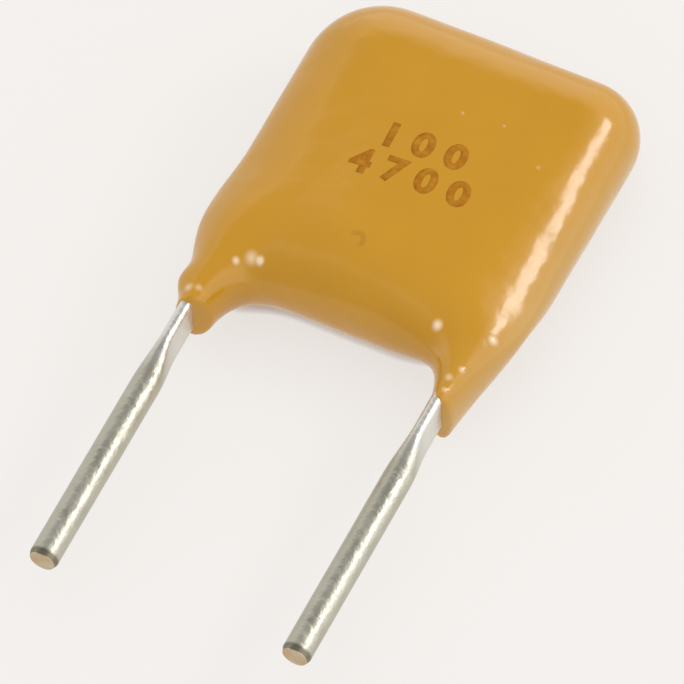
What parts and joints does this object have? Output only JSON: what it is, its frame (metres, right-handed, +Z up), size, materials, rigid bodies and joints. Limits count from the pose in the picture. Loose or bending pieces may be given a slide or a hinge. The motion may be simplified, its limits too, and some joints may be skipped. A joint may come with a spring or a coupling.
{
  "type": "multilayer ceramic capacitor",
  "caption": "Flat rounded-square dipped ceramic capacitor with a layered block inside and parallel radial leads, for through-hole mounting.",
  "frame": {"origin": "on the coating's flat back face, which it lies on, midway between the two leads", "axes": "+X across the leads, the leads point to -Y, +Z up through the thickness, out of the front face"},
  "size_m": [0.0066, 0.0132, 0.0025],
  "materials": {
    "amber_epoxy": "glossy dipped epoxy",
    "sintered_ceramic": "matt sintered ceramic",
    "electrode_metal": "printed and fired metal film",
    "fired_silver": "fired silver, slightly rough",
    "solder": "reflowed tin solder",
    "tinned_copper": "hot-tinned copper wire"
  },
  "bodies": {
    "root": {"epoxy_coating": "amber_epoxy", "ceramic_block": "sintered_ceramic", "electrode_01": "electrode_metal", "electrode_02": "electrode_metal", "electrode_03": "electrode_metal", "electrode_04": "electrode_metal", "electrode_05": "electrode_metal", "electrode_06": "electrode_metal", "electrode_07": "electrode_metal", "electrode_08": "electrode_metal", "electrode_09": "electrode_metal", "electrode_10": "electrode_metal", "electrode_11": "electrode_metal", "electrode_12": "electrode_metal", "electrode_13": "electrode_metal", "electrode_14": "electrode_metal", "electrode_15": "electrode_metal", "electrode_16": "electrode_metal", "electrode_17": "electrode_metal", "electrode_18": "electrode_metal", "electrode_19": "electrode_metal", "electrode_20": "electrode_metal", "left_end_cap": "fired_silver", "right_end_cap": "fired_silver", "left_solder": "solder", "right_solder": "solder", "left_lead": "tinned_copper", "right_lead": "tinned_copper"}
  },
  "joints": []
}
